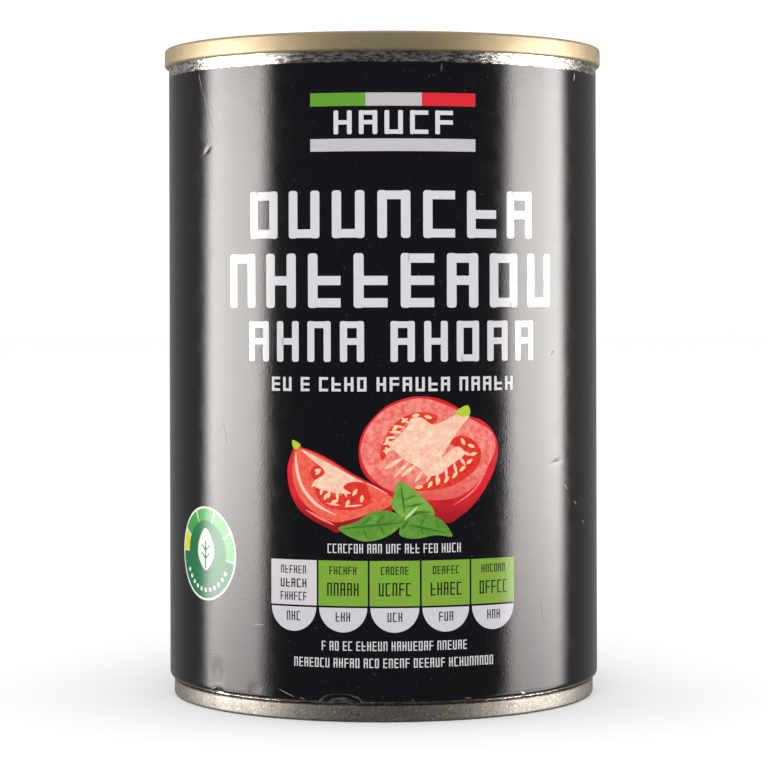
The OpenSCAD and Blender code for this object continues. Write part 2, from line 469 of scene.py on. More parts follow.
def black_tinplate():
    """Black ink under gloss varnish, with bare tin where the print stops."""
    material, tree = new_material("varnished_black_tinplate")
    spot = place(tree)
    right, back, up = axes(tree, spot)
    dust = noise(tree, spot, 0.35, 2.0, 0.7)
    tone = blend(tree, ramp(tree, dust, 0.69, 0.76), "0A0B10", "524F4B")
    rough = ramp(tree, noise(tree, spot, 3.0, 3.0, 0.6), 0.3, 0.75, 0.11, 0.18)
    black = principled(tree, tone, rough, Normal=varnish(tree, spot))
    chips = noise(tree, spot, 0.7, 2.0, 0.6)
    ragged = ramp(tree, chips, 0.3, 0.7, -0.10, 0.10)
    ragged_line = calc(tree, "MULTIPLY", ragged, 0.4)
    height = calc(tree, "ADD", up, ragged)
    above = ramp(tree, height, print_high, print_high + 0.12)
    printed = ramp(tree, height, print_low, print_low + 0.15)
    below = calc(tree, "SUBTRACT", 1.0, printed)
    off_stripe = ramp(tree, calc(tree, "ABSOLUTE", right), stripe_half, stripe_half + 0.1)
    front = calc(tree, "LESS_THAN", back, 0.0)
    stripe = calc(tree, "SUBTRACT", 1.0, calc(tree, "MAXIMUM", off_stripe, front))
    bare = calc(tree, "MAXIMUM", calc(tree, "MAXIMUM", above, below), stripe)
    for x, z, half_w, half_h, line in worn_dents_and_painted_highlights:
        away = oval(tree, spot, x, z, half_w, half_h)
        off_line = calc(tree, "ABSOLUTE", calc(tree, "SUBTRACT", away, 1.0))
        # Painted highlight: a thin line of bare tin along the dent's upper edge stands for the
        # light on its crease
        painted_crease_highlight = calc(tree, "LESS_THAN", calc(tree, "ADD", off_line, ragged_line), line)
        upper = calc(tree, "GREATER_THAN", up, z)
        inside = calc(tree, "LESS_THAN", calc(tree, "ADD", away, ragged), 0.62)
        # The worn metal inside the oval and the painted highlight line both join the bare mask
        dent_wear_and_painted_highlight = calc(tree, "MAXIMUM", calc(tree, "MULTIPLY", painted_crease_highlight, upper), inside)
        bare = calc(tree, "MAXIMUM", bare, calc(tree, "MULTIPLY", dent_wear_and_painted_highlight, front))
    plain = calc(tree, "MULTIPLY", stripe, calc(tree, "LESS_THAN", up, wrinkled_above))
    return show(material, mix_shaders(tree, bare, black, tin(tree, spot, plain)))


# %% [markdown]
# ## Knocks
# A can that has been shipped has small dents, most of them at the shoulder above the foot
# where the drawn-in wall is pressed against its neighbours. Each is pressed into the turned
# wall with a Displace modifier that acts through a vertex group with a soft edge.

# %% Knock tools
def push_in(piece, group_name, direction, depth):
    """Sinks the points of a vertex group by a depth, and then drops the group."""
    sink = piece.modifiers.new(group_name, "DISPLACE")
    sink.vertex_group = group_name
    sink.direction = direction
    sink.mid_level = 0
    sink.strength = -depth
    select_only(piece)
    bpy.ops.object.modifier_apply(modifier=sink.name)
    piece.vertex_groups.clear()


def press(piece, name, along, height, width, tall, depth, tilt=0):
    """Presses an oval knock into the wall. All sizes are in millimetres on the print."""
    group = piece.vertex_groups.new(name=name)
    lean = math.radians(tilt)
    reach = 1.5 * max(width, tall)
    touched = 0
    for vertex in piece.data.vertices:
        if abs(vertex.co.z / mm - height) > reach:
            continue
        x = math.atan2(vertex.co.x, -vertex.co.y) * wall_r / mm - along
        z = vertex.co.z / mm - height
        across = x * math.cos(lean) + z * math.sin(lean)
        up = z * math.cos(lean) - x * math.sin(lean)
        far = math.hypot(across / width, up / tall)
        if far < 1:
            group.add([vertex.index], (1 - far * far) ** 2, "REPLACE")
            touched += 1
    push_in(piece, name, "NORMAL", depth * mm)
    print(f"  {name}: {touched} points moved")


# %% [markdown]
# ## The wall
# On the real can a flat printed sheet is rolled into a tube, welded up the back and drawn in
# at the foot. Here its profile is turned. Its edge loops lie close together near the knocks,
# and further apart where the wall is plain.

# %% Wall
# Each knock: name, mm right of the print's middle, height, half width, half height, depth
# and tilt in degrees
knocks = [
    ("crescent_dent", -8.7, 3.5, 3.5, 1.3, 0.45, 0),
    ("crescent_hollow", -8.7, 6.4, 4.2, 3.0, 0.14, 0),
    ("foot_dent", -32.4, 3.4, 1.6, 0.8, 0.35, 0),
    ("foot_hollow", -32.4, 5.8, 2.2, 3.8, 0.13, 0),
    ("foot_ripple", -24.2, 4.3, 1.6, 1.6, 0.08, 0),
    ("upper_crease", -34.7, 91.8, 1.5, 0.45, 0.08, 35),
    ("right_crease_high", 29.6, 58.5, 0.8, 0.5, 0.06, -20),
    ("right_crease_low", 30.6, 40.6, 2.0, 0.45, 0.08, 8),
]
fine_step = 0.3 * mm
plain_step = 1.5 * mm

heights = [rim_z + gauge]
while heights[-1] > shoulder_z:
    near = any(abs(heights[-1] / mm - k[2]) < k[3] + 0.5 for k in knocks)
    heights.append(max(shoulder_z, heights[-1] - (fine_step if near else plain_step)))

neck_angle = -math.degrees(math.acos((neck_r - wall_r + shoulder_r) / shoulder_r))
profile = [(wall_r, height) for height in heights[:-1]]
profile += arc(wall_r - shoulder_r, shoulder_z, shoulder_r, 0, neck_angle, 12)
profile += [(neck_r, crevice_z - gauge), (neck_r - gauge, crevice_z - gauge)]
profile += [(neck_r - gauge, shoulder_z)]
profile += [(wall_r - gauge, shoulder_z + shoulder_r)]
profile += [(wall_r - gauge, rim_z + gauge), profile[0]]
wall = lathe("printed_wall", profile, 480)
for knock in knocks:
    press(wall, *knock)
keep(wall, "body", black_tinplate())

# %% [markdown]
# ## The gold top end
# The easy-open end is a disc pressed from tinplate that is lacquered gold on both sides. The
# lacquer is a thin tinted film, a little milky, on bright metal. So most of what is
# seen is a golden mirror, blurred by the rolled-on film, and the rest is the film's colour.

# %% Gold lacquer
def gold_lacquer():
    """Semi-matt gold lacquer on tinplate, with rolled streaks round the rim."""
    material, tree = new_material("gold_lacquered_tinplate")
    spot = place(tree)
    tone = blend(tree, noise(tree, spot, 3.5, 3.0, 0.6), "AE9D7C", "9A8969")
    streaks = noise(tree, stretch(tree, spot, (0.35, 0.35, 2.5)), 1.2, 3.0, 0.6)
    rough = ramp(tree, streaks, 0.3, 0.7, 0.48, 0.58)
    relief = bump(tree, noise(tree, spot, 0.28, 2.0, 0.6), 0.3, 0.006)
    film = {"Coat Weight": 0.5, "Coat Roughness": 0.35}
    return show(material, principled(tree, tone, rough, 0.75, Normal=relief, **film))


gold = gold_lacquer()

# %% [markdown]
# The end's edge is rolled together with the wall into the double seam. Inside the seam the
# sheet drops to a round groove that stiffens it, rises to the panel with its score line, and
# steps down to the floor that the tab lies on.

# %% Top end
top_in_r = seam_r - seam_t
groove_round = 0.6 * mm
groove_z = can_h - 4.5 * mm
panel_z = groove_z + 1.2 * mm
panel_bend = 0.55 * mm
panel_r = top_in_r - 2 * groove_round
score_r = panel_r - 1.3 * mm
score_w = 0.3 * mm
score_depth = 0.08 * mm
step_r = panel_r - 2.2 * mm
step_w = 0.6 * mm
tab_floor_z = panel_z - 0.5 * mm
floor_ring = 0.45 * mm

profile = [(wall_r, rim_z)]
profile += arc(seam_r - seam_round, rim_z + seam_round, seam_round, -90, 0, 8)
profile += arc(seam_r - seam_round, can_h - seam_round, seam_round, 0, 90, 10)
profile += arc(top_in_r + seam_round, can_h - seam_round, seam_round, 90, 180, 10)
profile += arc(top_in_r - groove_round, groove_z + groove_round, groove_round, 0, -180, 16)
profile += arc(panel_r - panel_bend, panel_z - panel_bend, panel_bend, 0, 90, 8)
profile += [(score_r + score_w / 2, panel_z), (score_r + score_w / 6, panel_z - score_depth)]
profile += [(score_r - score_w / 6, panel_z - score_depth), (score_r - score_w / 2, panel_z)]
profile += [(step_r, panel_z)]
profile += ease((step_r, panel_z), (step_r - step_w, tab_floor_z), 8)
ring_count = int((step_r - step_w) / floor_ring)
floor_r = [(step_r - step_w) * (1 - i / ring_count) for i in range(1, ring_count + 1)]
profile += [(radius, tab_floor_z) for radius in floor_r]
profile += [(0, groove_z - 2 * gauge), (wall_r - 2 * gauge, groove_z - 2 * gauge)]
profile += [(wall_r - 2 * gauge, rim_z), profile[0]]
top_end = lathe("gold_top_end", profile, 256)

# %% [markdown]
# Under the ring the floor is pressed into a shallow well, so that a finger can get beneath
# it. The points of the floor within the well's circle are lowered through a vertex group.

# %% Finger well
tab_turn = math.radians(30)
tab_way = Vector((math.cos(tab_turn), math.sin(tab_turn), 0))
rivet_reach = 25.9 * mm
well_reach = 6.9 * mm
well_r = 8.0 * mm
well_slope = 0.9 * mm
well_depth = 0.6 * mm

well = tab_way * well_reach
group = top_end.vertex_groups.new(name="well")
for vertex in top_end.data.vertices:
    if abs(vertex.co.z - tab_floor_z) < merge_gap:
        away = (Vector((vertex.co.x, vertex.co.y, 0)) - well).length
        share = min(1, max(0, (well_r + well_slope / 2 - away) / well_slope))
        group.add([vertex.index], share * share * (3 - 2 * share), "REPLACE")
push_in(top_end, "well", "Z", well_depth)
keep(top_end, "top_end", gold)
print(f"finger well {2 * well_r / mm:.0f} mm across and {well_depth / mm:.1f} mm deep")

# %% [markdown]
# The rivet is not a separate part on the real can: it is drawn up from the panel and its
# head is flattened over the tab. So it is turned on its own axis, in the panel's lacquer. The
# tab itself stays as the CAD model has it.

# %% Rivet
head_low = tab_floor_z + 0.7 * mm
head_high = tab_floor_z + 1.2 * mm
head_r = 3.0 * mm
head_round = 0.2 * mm
shank_r = 1.9 * mm

rivet_at = tab_way * rivet_reach
profile = [(shank_r, tab_floor_z - gauge / 2), (shank_r, head_low)]
profile += arc(head_r - head_round, head_low + head_round, head_round, -90, 0, 5)
profile += arc(head_r - head_round, head_high - head_round, head_round, 0, 90, 5)
profile += [(shank_r, head_high), (shank_r - 0.5 * mm, head_high - 0.18 * mm)]
profile += [(0, head_high - 0.22 * mm), (0, tab_floor_z - gauge / 2), profile[0]]
rivet = lathe("rivet", profile, 64, (rivet_at.x, rivet_at.y))
keep(rivet, None, gold)

# %% [markdown]
# ## The foot end
# The foot is closed by a plain end of bare tinplate, which is seamed inside the drawn-in
# wall. Its ring beads let the panel breathe when the can is cooked. Handling leaves the tin
# dull and speckled, and compound and dirt sit in the crevice above the seam.

# %% Bare tinplate
def worn_tinplate():
    """Dull tinplate with dark and bright speckles, and grime along the seam's top edge."""
    material, tree = new_material("bare_worn_tinplate")
    spot = place(tree)
    cloud = noise(tree, spot, 2.2, 4.0, 0.65)
    specks = noise(tree, spot, 0.35, 3.0, 0.7)
    tone = blend(tree, cloud, "94928A", "73716A")
    tone = blend(tree, ramp(tree, specks, 0.56, 0.68), tone, "4A4336")
    tone = blend(tree, ramp(tree, specks, 0.38, 0.32), tone, "D9D2BE")
    rough = ramp(tree, cloud, 0.3, 0.7, 0.42, 0.54)
    relief = bump(tree, noise(tree, spot, 0.4, 3.0, 0.65), 0.6, 0.012)
    metal = principled(tree, tone, rough, 0.85, Normal=relief)
    creep = ramp(tree, noise(tree, spot, 0.5, 3.0, 0.7), 0.3, 0.7, -0.22, 0.12)
    height = calc(tree, "ADD", axes(tree, spot)[2], creep)
    edge = ramp(tree, height, crevice_z / mm - 0.30, crevice_z / mm - 0.12)
    level = stretch(tree, spot, (1, 1, 0))
    radius = add_node(tree, "VectorMath", {0: level}, "Value", operation="LENGTH")
    outside = calc(tree, "GREATER_THAN", radius, foot_in_r / mm)
    grime = principled(tree, "3A2216", 0.8)
    return show(material, mix_shaders(tree, calc(tree, "MULTIPLY", edge, outside), metal, grime))


# %% Foot end
roof_z = 4.0 * mm
foot_panel_z = roof_z - 1.2 * mm
foot_panel_r = foot_in_r - 2 * groove_round
bead_depth = 0.45 * mm
bead_flat = 1.6 * mm
bead_slope = 0.6 * mm
bead_inset = 4.3 * mm
bead_pitch = 6.5 * mm

profile = [(neck_r - gauge, crevice_z)]
profile += arc(foot_r - seam_round, crevice_z - seam_round, seam_round, 90, 0, 10)
profile += arc(foot_r - seam_round, seam_round, seam_round, 0, -90, 10)
profile += arc(foot_in_r + seam_round, seam_round, seam_round, -90, -180, 10)
profile += arc(foot_in_r - groove_round, roof_z - groove_round, groove_round, 0, 180, 16)
profile += arc(foot_panel_r - panel_bend, foot_panel_z + panel_bend, panel_bend, 0, -90, 8)
for i in range(3):
    bead_r = foot_panel_r - bead_inset - bead_pitch * i
    low_z = foot_panel_z - bead_depth
    profile += [(bead_r, foot_panel_z)]
    profile += ease((bead_r, foot_panel_z), (bead_r - bead_slope, low_z), 6)
    bead_r -= bead_slope + bead_flat
    profile += [(bead_r, low_z)]
    profile += ease((bead_r, low_z), (bead_r - bead_slope, foot_panel_z), 6)
profile += [(0, foot_panel_z), (0, roof_z + gauge), (neck_r - 2 * gauge, roof_z + gauge)]
profile += [(neck_r - 2 * gauge, crevice_z), profile[0]]
foot_end = lathe("plain_foot_end", profile, 256)
keep(foot_end, "bottom_end", worn_tinplate())

# %% [markdown]
# ## Print tools
# The print is built as it is made: flat first, in millimetres right of its middle and up
# from the ground, and rolled round the can afterwards. A flat shape faces the reader. It is
# cut into upright strips, given a thickness that sinks into the wall and bent with a Simple
# Deform modifier. Each layer of ink stands a few hundredths of a millimetre proud.

# %% Print tools
def point(x, z):
    """Adds one selected point to the open mesh, at a place on the print."""
    bpy.ops.mesh.primitive_plane_add(size=mm, location=(x * mm, 0, z * mm))
    bpy.ops.mesh.merge(type="CENTER")


def begin_print(name):
    """Starts an empty print piece, in edit mode."""
    begin(name)
    bpy.ops.mesh.delete(type="VERT")


def block(x, z, width, height, corner=0.0):
    """Adds an upright block round its middle, with rounded corners if wanted."""
    middle = (x * mm, 0, z * mm)
    bpy.ops.mesh.primitive_plane_add(size=mm, location=middle, rotation=(math.pi / 2, 0, 0))
    bpy.ops.transform.resize(value=(width, 1, height), center_override=middle)
    if corner:
        bpy.ops.mesh.bevel(affect="VERTICES", offset=corner * mm, segments=4)


def shape(points):
    """Adds a filled shape with straight edges between the points."""
    point(*points[0])
    follow([(x * mm, z * mm) for x, z in points + points[:1]])
    bpy.ops.mesh.select_linked()
    bpy.ops.mesh.remove_doubles(threshold=merge_gap)
    bpy.ops.mesh.edge_face_add()


def soft(points, steps=4):
    """Points of a smooth closed line that runs through all the given points."""
    line = []
    for i in range(len(points)):
        four = [points[(i + k) % len(points)] for k in (-1, 0, 1, 2)]
        for t in [step / steps for step in range(steps)]:
            line.append(tuple(
                b + (c - a) * t / 2 + (a - 2.5 * b + 2 * c - d / 2) * t * t
                + (1.5 * b - a / 2 - 1.5 * c + d / 2) * t ** 3
                for a, b, c, d in zip(*four)
            ))
    return line


def ring_part(x, z, inner, outer, start, end, steps=12):
    """Adds part of a flat ring. The angles are in degrees, and 0 points right."""
    turns = [math.radians(start + (end - start) * i / steps) for i in range(steps + 1)]
    out = [(x + outer * math.cos(t), z + outer * math.sin(t)) for t in turns]
    back = [(x + inner * math.cos(t), z + inner * math.sin(t)) for t in reversed(turns)]
    shape(out + back)


strip_mm = 0.8  # width of the strips
cut_shift_mm = 0.013  # keeps the cuts clear of the corners, which lie on round numbers
sunk_mm = 0.06  # how far the back of the print lies inside the wall
first_ink = 0.02  # how proud the lowest layer of ink stands, in millimetres


def roll(proud, material):
    """Rolls the open print piece round the can, standing proud by some millimetres."""
    piece = bpy.context.object
    select_mesh()
    bpy.ops.transform.translate(value=(0, -proud * mm, 0))
    bpy.ops.object.mode_set(mode="OBJECT")
    left = min(v.co.x for v in piece.data.vertices)
    right = max(v.co.x for v in piece.data.vertices)
    bpy.ops.object.mode_set(mode="EDIT")
    first = math.floor(left / mm / strip_mm)
    for k in range(first, math.ceil(right / mm / strip_mm) + 1):
        select_mesh()
        cut = (k * strip_mm + cut_shift_mm) * mm
        bpy.ops.mesh.bisect(plane_co=(cut, 0, 0), plane_no=(1, 0, 0), threshold=1e-7)
    select_mesh()
    thick = (proud + sunk_mm) * mm
    bpy.ops.mesh.extrude_region_move(TRANSFORM_OT_translate={"value": (0, thick, 0)})
    close(piece)
    bend = piece.modifiers.new("roll", "SIMPLE_DEFORM")
    bend.deform_method = "BEND"
    bend.deform_axis = "Z"
    bend.angle = (right - left) / wall_r
    select_only(piece)
    bpy.ops.object.modifier_apply(modifier=bend.name)
    bpy.ops.object.mode_set(mode="EDIT")
    select_mesh()
    bpy.ops.transform.translate(value=(0, -wall_r, 0))
    bpy.ops.object.mode_set(mode="OBJECT")
    smooth(piece, 30)
    keep(piece, None, material)


def ink(name, swatch, second=None, size=1.2, spread=0.12, shade=None):
    """Printing ink under varnish. A second swatch gives the mottle of a printed picture.

    shade holds two heights and a darker swatch that the ink fades to at the lower one.
    """
    material, tree = new_material(name)
    spot = place(tree)
    tone = swatch
    if second:
        mottle = noise(tree, spot, size, 3.0, 0.65)
        tone = blend(tree, ramp(tree, mottle, 0.5 - spread, 0.5 + spread), swatch, second)
    if shade:
        fade = ramp(tree, axes(tree, spot)[2], *shade[:2])
        tone = blend(tree, fade, shade[2], tone)
    return show(material, principled(tree, tone, 0.18, Normal=varnish(tree, spot)))


# %% [markdown]
# ## Bars and large type
# The words of the real label are left out. Their places are held by signs of the same
# height, weight and spacing. Each is built from the plain strokes that capitals have, so
# many look like capitals, but a seeded dice picks their strokes and no word is written.

# %% Bars
small_white = ink("white_ink_on_tin", "B7B4B4")
letter_white = ink("opaque_white_ink", "C9C7CB")

bar_w = 9
colours = (("green_bar", -1, "5A942A"), ("white_bar", 0, "B1ADAC"), ("red_bar", 1, "CE1F2D"))
for name, order, swatch in colours:
    begin_print(name)
    block(order * bar_w, 99.15, bar_w, 2.1)
    roll(first_ink, ink(name + "_ink", swatch))

begin_print("long_white_bar")
block(0, 91.9, 3 * bar_w, 2.0)
roll(first_ink, small_white)

# %% Large type
dice = random.Random(4)

# What a sign can be: whether it has a right-hand upright too, and the heights of its arms
# as shares of the way up
sign_kinds = (
    (True, (1,)), (True, (0,)), (True, (1, 0)), (True, (0.5,)), (True, (1, 0.5)),
    (False, (1, 0.5, 0)), (False, (1, 0)), (False, (1, 0.5)), (False, (0.5, 0)),
)


def sign(x, low, high, width):
    """One heavy sign, built from an upright, one to three arms and often a second upright."""
    stroke = min(0.30 * width, 0.2 * (high - low))
    middle = (low + high) / 2
    left, right = x - (width - stroke) / 2, x + (width - stroke) / 2
    inner = width - 2 * stroke
    corner = 0.3 * stroke
    arm_z = {0: low + stroke / 2, 0.5: middle, 1: high - stroke / 2}
    both, arms = dice.choice(sign_kinds)
    block(left, middle, stroke, high - low, corner)
    if both:
        block(right, middle, stroke, high - low, corner)
    reach = inner + (0.6 if both else 1.3) * stroke
    for arm in arms:
        block(left + 0.2 * stroke + reach / 2, arm_z[arm], reach, 0.9 * stroke)


def type_row(low, high, half_width, words, middle=0):
    """A line of signs in words, spread over the whole width. words holds their lengths."""
    word_gap = 0.5  # as a share of a sign's pitch
    places = sum(words) + word_gap * (len(words) - 1)
    pitch = 2 * half_width / places
    x = middle - half_width
    for length in words:
        for _ in range(length):
            sign(x + pitch / 2, low, high, 0.72 * pitch)
            x += pitch
        x += word_gap * pitch


type_rows = (
    ("name_line", 93.6, 97.4, 10.2, (5,)),
    ("large_line_1", 77.1, 84.7, 25.6, (7,)),
    ("large_line_2", 66.0, 74.7, 30.0, (8,)),
    ("large_line_3", 57.4, 63.9, 25.6, (4, 5)),
    ("small_line_1", 52.7, 55.0, 20.7, (2, 1, 4, 6, 5)),
    ("caption_line", 27.0, 28.5, 10.9, (7, 3, 3, 3, 3, 4)),
    ("foot_line_1", 11.5, 13.0, 11.9, (1, 2, 2, 6, 8, 6)),
    ("foot_line_2", 8.8, 10.3, 16.6, (7, 5, 3, 5, 6, 9)),
)
for name, low, high, half_width, words in type_rows:
    begin_print(name)
    type_row(low, high, half_width, words)
    roll(first_ink, letter_white)

# %% [markdown]
# ## The value panel
# Five boxes in a row, one white and four green, stand over white half-round tabs. On the
# real can they hold food values. Here the same signs stand in for the words and figures.

# %% Value panel
box_w, box_h, box_pitch, box_z = 8.0, 7.2, 8.3, 22.2
tab_radius, tab_top = 3.9, 18.3
speck = 0.01  # an inner radius that makes a ring a full disc
over_ink = 0.035  # how proud print stands that lies on other print, in millimetres
boxes = [box_pitch * (i - 2) for i in range(5)]

begin_print("white_box")
block(boxes[0], box_z, box_w, box_h)
roll(first_ink, ink("panel_white_ink", "C8C3C6"))

begin_print("green_boxes")
for x in boxes[1:]:
    block(x, box_z, box_w, box_h)
roll(first_ink, ink("panel_green_ink", "7A9A34", "6FA02E", 3.0))

begin_print("half_round_tabs")
for x in boxes:
    ring_part(x, tab_top, speck, tab_radius, 180, 360, 24)
roll(first_ink, ink("panel_tab_ink", "C3C0C8"))

begin_print("panel_text")
for x in boxes:
    type_row(23.6, 24.9, 2.3, (6,), x)
    if x == boxes[0]:
        type_row(21.4, 22.8, 2.4, (5,), x)
        type_row(19.3, 20.7, 2.4, (6,), x)
    else:
        type_row(20.2, 22.3, 2.7, (5,), x)
    type_row(16.1, 17.6, 1.3, (3,), x)
roll(over_ink, ink("panel_dark_ink", "1C1F1A"))

# %% [markdown]
# ## The round seal
# The seal at the left is drawn as a plain badge: a white rim, a dark green field with a
# ring of lighter fields round its upper half, a leaf in the middle and a dotted line below.

# %% Seal
seal_x, seal_z, rim_radius = -35.5, 25.7, 7.7
field_radius = rim_radius - 0.35
ring_inner = 5.4
dot_radius = 6.0
ring_fields = (
    (178, 152, "D8D42F"), (149, 114, "3D9E43"), (111, 72, "4BA850"), (69, 31, "55AE57"),
    (28, -8, "5DB25E"),
)
discs = (
    ("seal_rim", rim_radius, first_ink, "seal_white_ink", "EDEFE6"),
    ("seal_field", field_radius, 0.03, "seal_dark_green_ink", "007040"),
)
for name, radius, proud, ink_name, swatch in discs:
    begin_print(name)
    ring_part(seal_x, seal_z, speck, radius, 0, 360, 96)
    roll(proud, ink(ink_name, swatch))

begin_print("seal_ring_gaps")
ring_part(seal_x, seal_z, ring_inner, field_radius, -10, 180, 60)
roll(0.037, ink("seal_gap_ink", "DCE3D4"))

for i, (start, end, swatch) in enumerate(ring_fields):
    begin_print(f"seal_ring_{i + 1}")
    ring_part(seal_x, seal_z, ring_inner, field_radius, start, end)
    roll(0.044, ink(f"seal_ring_ink_{i + 1}", swatch))

begin_print("seal_leaf")
leaf = [(0, 4.2), (2.0, 2.0), (2.2, -0.6), (0, -2.8), (-2.2, -0.6), (-2.0, 2.0)]
shape(soft([(seal_x + x, seal_z + z) for x, z in leaf]))
for i in range(11):
    turn = math.radians(210 + 12 * i)
    dot_x = seal_x + dot_radius * math.cos(turn)
    block(dot_x, seal_z + dot_radius * math.sin(turn), 0.7, 0.7, 0.3)
roll(0.044, ink("seal_symbol_ink", "E4EBDD"))

begin_print("seal_leaf_vein")
block(seal_x, seal_z - 0.2, 0.35, 4.6)
for side in (-1, 1):
    for step in (0, 1.3):
        low = seal_z - 1.0 + step
        shape([(seal_x, low), (seal_x + side * 1.2, low + 1.0), (seal_x + side * 1.2, low + 1.3),
               (seal_x, low + 0.3)])
roll(0.055, ink("seal_vein_ink", "007040"))

# %% [markdown]
# ## The back
# The back isn't seen from the camera. It holds what such cans carry there, in plain shapes:
# two columns of fine lines, a white field with upright bars, and the welded seam between.

# %% Back of the can
line_w, line_pitch = 26, 2.3
field_x = 74

begin_print("small_print")
for middle, low_line, line_count in ((-78, 34, 22), (field_x, 38, 20)):
    for i in range(line_count):
        long = dice.uniform(0.5, 1.0) * line_w if i % 5 == 4 else line_w
        block(middle - line_w / 2 + long / 2, low_line + line_pitch * i, long, 0.75)
    block(middle - 5, low_line + line_pitch * line_count + 1.2, 16, 2.2, 0.3)
roll(first_ink, small_white)

begin_print("code_field")
block(field_x, 22.5, 27, 17, 0.5)
roll(first_ink, letter_white)

begin_print("code_bars")
left = field_x - 10.5
while left < field_x + 10:
    wide = dice.choice((0.35, 0.35, 0.7, 1.05))
    block(left + wide / 2, 23.2, wide, 13)
    left += wide + dice.choice((0.35, 0.7))
roll(over_ink, ink("code_dark_ink", "141416"))

# %% Weld
weld_steel, tree = new_material("welded_steel")
ripple = noise(tree, place(tree), 0.7, 2.0, 0.6)
tone = blend(tree, ripple, "A8A49C", "77736C")
show(weld_steel, principled(tree, tone, 0.4, 1.0, Normal=bump(tree, ripple, 0.7, 0.02)))
begin_print("weld")
block(math.pi * wall_r / mm, 55.4, 1.1, 100)
roll(0.05, weld_steel)

# %% [markdown]
# ## The picture
# Half a tomato, a wedge and three leaves. Each is built up from flat shapes like a paper
# collage: skin below, then flesh, then the juicy chambers, the pale core and the seeds. All
# the corners are listed and drawn through with a smooth line.

# %% Tomato skin and flesh
half_outline = [
    (-5.7, 42.9), (-5.4, 45.2), (-4.2, 47.5), (-1.4, 50.3), (2.1, 51.7), (4.7, 51.9),
    (7.6, 51.4), (10.4, 50.0), (12.3, 48.7), (14.4, 48.0), (16.0, 46.8), (17.2, 44.9),
    (17.5, 43.0), (17.1, 40.9), (16.2, 38.8), (14.6, 36.3), (12.5, 34.0), (10.7, 32.7),
    (9.0, 31.7), (7.3, 32.1), (2.8, 33.5), (-1.9, 37.3), (-3.8, 38.5), (-5.2, 40.3),
]
wedge_outline = [
    (-16.3, 43.9), (-17.4, 41.3), (-17.6, 39.4), (-17.1, 36.6), (-15.6, 33.9), (-13.1, 32.1),
    (-10.2, 30.7), (-9.0, 30.3), (-5.2, 31.7), (-0.6, 33.6), (-0.2, 36.1), (-6.6, 39.6),
    (-11.3, 42.4), (-15.6, 43.9),
]
half_cut = [
    (-5.4, 42.9), (-5.0, 45.2), (-3.9, 47.4), (-1.4, 49.9), (2.1, 51.3), (5.2, 51.5),
    (9.5, 50.0), (12.6, 48.2), (16.0, 46.3), (17.0, 44.2), (16.5, 42.1), (13.8, 38.0),
    (10.0, 35.7), (5.1, 35.4), (2.3, 35.9), (-1.9, 37.6), (-4.4, 40.1),
]
wedge_cut = [
    (-15.7, 43.6), (-16.6, 41.2), (-16.7, 39.4), (-16.1, 37.0), (-14.7, 34.8), (-12.4, 33.1),
    (-9.4, 31.9), (-5.2, 32.9), (-1.0, 34.4), (-0.6, 36.0), (-6.7, 39.3), (-11.3, 42.1),
]


def picture(name, shapes, proud, material):
    """One layer of the picture: smooth filled shapes in one ink."""
    begin_print(name)
    for corners in shapes:
        shape(soft(corners))
    roll(proud, material)


skin_ink = ink("tomato_skin_ink", "D9222E", "C4121F", 2.5, 0.2, (31.5, 37.0, "8E0A14"))
flesh_ink = ink("tomato_flesh_ink", "DC5650", "E88F82", 0.9, 0.14, (35.0, 40.0, "D24A44"))
picture("tomato_skin", [half_outline, wedge_outline], 0.02, skin_ink)
picture("half_tomato_flesh", [half_cut], 0.03, flesh_ink)
wedge_ink = ink("wedge_flesh_ink", "DA4434", "E66A55", 0.8, 0.16)
picture("wedge_flesh", [wedge_cut], 0.03, wedge_ink)

# %% Chambers
left_chamber = [
    (-1.9, 41.7), (-2.3, 42.9), (-1.9, 44.5), (-0.5, 47.1), (1.6, 48.7), (4.0, 49.4),
    (6.6, 49.0), (6.9, 48.2), (5.9, 47.5), (4.0, 48.6), (2.3, 48.1), (0.9, 46.6),
    (-0.2, 45.7), (-0.5, 44.0),
]
right_chamber = [
    (9.0, 44.4), (10.0, 45.4), (11.8, 45.4), (13.6, 44.3), (14.4, 42.6), (13.6, 40.3),
    (10.5, 38.1), (7.1, 37.1), (3.2, 37.0), (5.1, 38.2), (5.9, 39.3), (7.6, 39.5),
    (9.5, 41.4), (11.2, 43.2), (10.0, 43.8),
]
wedge_chamber = [
    (-12.6, 37.2), (-8.5, 36.1), (-8.2, 37.7), (-6.6, 38.5), (-4.7, 38.0), (-3.8, 36.1),
    (-4.2, 34.7), (-7.1, 33.8), (-10.4, 34.2), (-12.1, 35.3),
]
small_chamber = [
    (-13.6, 39.9), (-12.6, 41.0), (-11.5, 40.3), (-11.3, 39.4), (-12.2, 38.7), (-13.3, 38.9),
]
jelly_ink = ink("tomato_jelly_ink", "C9141B", "DB3A2C", 0.8, 0.2)
picture("chambers", [left_chamber, right_chamber, wedge_chamber, small_chamber], 0.04, jelly_ink)

# %% Core
half_core = [
    (10.5, 49.1), (12.3, 48.7), (11.0, 47.2), (10.0, 45.8), (8.8, 44.2), (7.6, 42.1),
    (10.0, 43.8), (11.3, 43.2), (11.2, 42.3), (8.8, 40.7), (7.1, 39.5), (5.2, 39.3),
    (4.0, 40.5), (1.6, 41.9), (0.0, 43.3), (-0.9, 44.3), (0.5, 45.4), (2.1, 47.2),
    (2.7, 48.4), (4.4, 48.5), (6.1, 47.4), (8.1, 48.0),
]
wedge_core = [
    (-15.1, 43.4), (-10.6, 41.3), (-7.0, 39.4), (-0.9, 36.3), (-4.2, 38.1), (-7.0, 38.3),
    (-8.2, 37.4), (-6.9, 36.5), (-9.4, 36.6), (-12.6, 37.4), (-13.0, 38.4), (-11.3, 39.5),
    (-11.6, 40.5), (-13.8, 42.2),
]
core_ink = ink("tomato_core_ink", "E7D0B0", "E9A893", 0.9, 0.14)
picture("core", [half_core, wedge_core], 0.05, core_ink)

